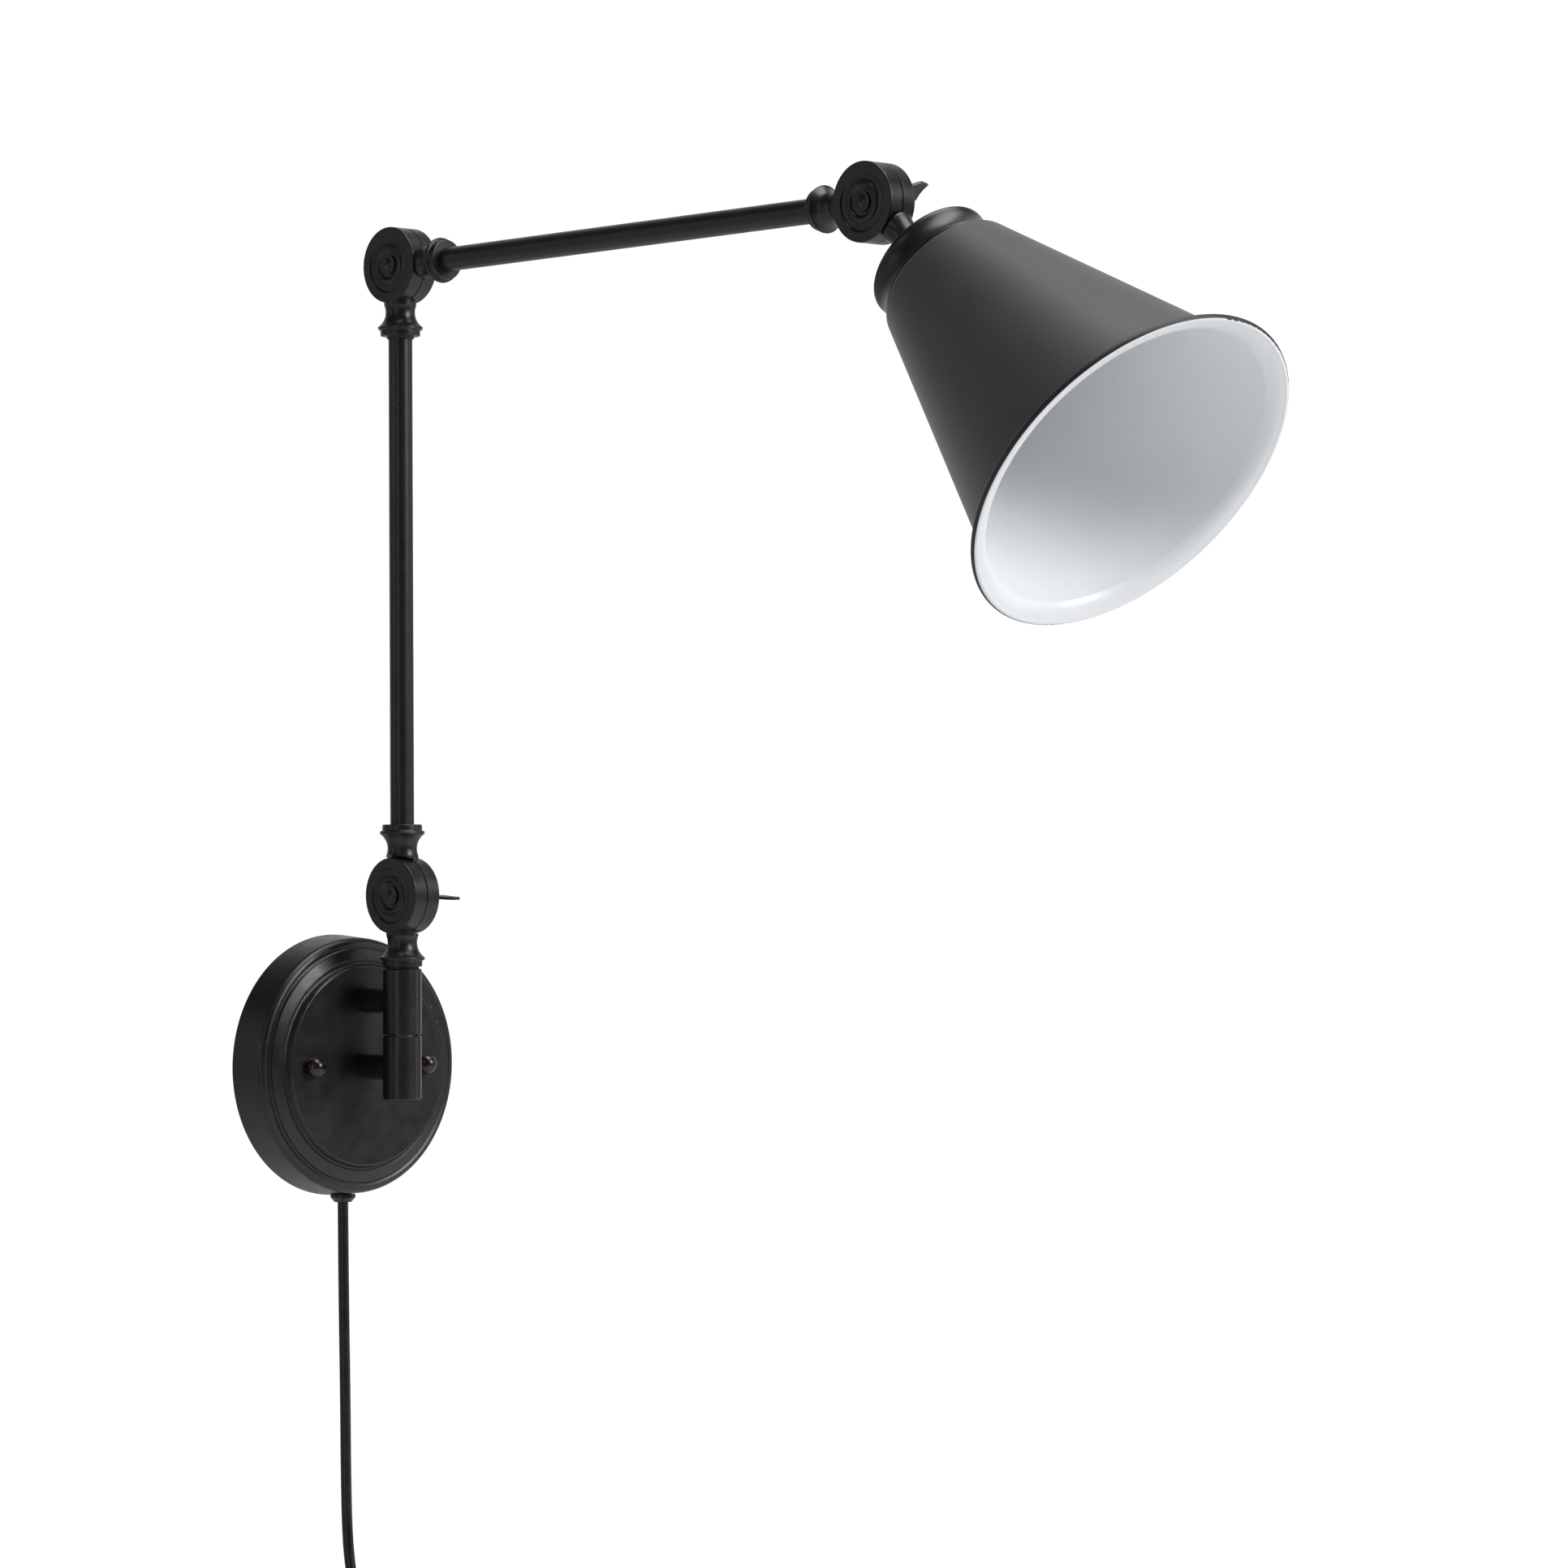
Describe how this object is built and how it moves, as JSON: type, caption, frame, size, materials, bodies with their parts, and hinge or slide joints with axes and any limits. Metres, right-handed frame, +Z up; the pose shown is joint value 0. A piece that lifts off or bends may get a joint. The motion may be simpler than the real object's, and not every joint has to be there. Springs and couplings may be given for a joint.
{
  "type": "swing arm wall sconce",
  "caption": "Plug-in wall sconce: round stepped canopy, swivelling two-section arm with clamped disc knuckles and wing nuts, and a conical metal shade.",
  "frame": {"origin": "centre of the canopy's flat back, on the wall", "axes": "+Z up, -Y out into the room along the wall's normal, +X to the right for someone facing the wall; the knuckles turn about X"},
  "size_m": [0.1722, 0.5979, 0.8042],
  "materials": {
    "black_paint": "satin",
    "shade_paint": "satin outside, white enamel inside",
    "bronze": "glossy dark bronze",
    "zinc": "zinc plated",
    "friction": "hard fibre",
    "phenolic": "moulded",
    "socket_metal": "drawn",
    "cord_jacket": "smooth vinyl",
    "wire_insulation": "smooth",
    "connector": "moulded",
    "tie": "hook and loop"
  },
  "bodies": {
    "base": {"canopy": "black_paint", "crossbar": "zinc", "mounting_studs": "zinc", "stud_lock_nuts": "zinc", "ball_nuts": "bronze", "standoff_lower": "black_paint", "standoff_upper": "black_paint", "standoff_nuts": "zinc", "barrel_lower": "black_paint", "barrel_upper": "black_paint", "barrel_plug": "black_paint", "swivel_washer": "phenolic", "cord_gland": "cord_jacket", "cord_tail": "cord_jacket", "cord_cores": "cord_jacket", "lamp_leads": "wire_insulation", "wire_connectors": "connector", "cord": "cord_jacket", "cord_coil": "cord_jacket", "cord_end": "cord_jacket", "cord_tie": "tie", "plug_body": "cord_jacket", "plug_blades": "socket_metal"},
    "swivel": {"swivel_knuckle": "black_paint", "swivel_stem": "zinc", "stem_washer": "zinc", "stem_nut": "zinc", "swivel_leads": "wire_insulation", "low_pivot_bolt": "black_paint", "low_friction_washer": "friction", "low_flat_washer": "zinc", "low_spring_washer": "zinc"},
    "lower_arm": {"lower_arm_bottom_knuckle": "black_paint", "lower_arm_tube": "black_paint", "lower_arm_leads": "wire_insulation", "lower_arm_top_knuckle": "black_paint", "elbow_pivot_bolt": "black_paint", "elbow_friction_washer": "friction", "elbow_flat_washer": "zinc", "elbow_spring_washer": "zinc"},
    "upper_arm": {"upper_arm_inner_knuckle": "black_paint", "upper_arm_tube": "black_paint", "upper_arm_leads": "wire_insulation", "upper_arm_outer_knuckle": "black_paint", "head_pivot_bolt": "black_paint", "head_friction_washer": "friction", "head_flat_washer": "zinc", "head_spring_washer": "zinc"},
    "head": {"head_knuckle": "black_paint", "head_leads": "wire_insulation", "nipple_nut": "zinc", "shade_cap": "black_paint", "shade": "shade_paint", "shade_ring": "phenolic", "socket_body": "phenolic", "socket_screw_shell": "socket_metal", "socket_centre_contact": "socket_metal"},
    "low_wing": {"low_wing_nut": "black_paint"},
    "elbow_wing": {"elbow_wing_nut": "black_paint"},
    "head_wing": {"head_wing_nut": "black_paint"}
  },
  "joints": [
    {"name": "base_swivel", "type": "hinge", "parent": "base", "child": "swivel", "pos_m": [0, -0.0533, 0.03], "axis": [0, 0, 1], "range_deg": [-85, 85]},
    {"name": "low_tilt", "type": "hinge", "parent": "swivel", "child": "lower_arm", "pos_m": [0, -0.0533, 0.0859], "axis": [1, 0, 0], "range_deg": [-5, 90]},
    {"name": "elbow_bend", "type": "hinge", "parent": "lower_arm", "child": "upper_arm", "pos_m": [0, -0.05109, 0.40214], "axis": [-1, 0, 0], "range_deg": [-42, 90]},
    {"name": "head_tilt", "type": "hinge", "parent": "upper_arm", "child": "head", "pos_m": [0, -0.38264, 0.40822], "axis": [-1, 0, 0], "range_deg": [-90, 110]},
    {"name": "low_clamp", "type": "hinge", "parent": "swivel", "child": "low_wing", "pos_m": [0, -0.0533, 0.0859], "axis": [1, 0, 0], "range_deg": [0, 180]},
    {"name": "elbow_clamp", "type": "hinge", "parent": "lower_arm", "child": "elbow_wing", "pos_m": [0, -0.05109, 0.40214], "axis": [1, 0, 0], "range_deg": [0, 180]},
    {"name": "head_clamp", "type": "hinge", "parent": "upper_arm", "child": "head_wing", "pos_m": [0, -0.38264, 0.40822], "axis": [1, 0, 0], "range_deg": [0, 180]}
  ]
}
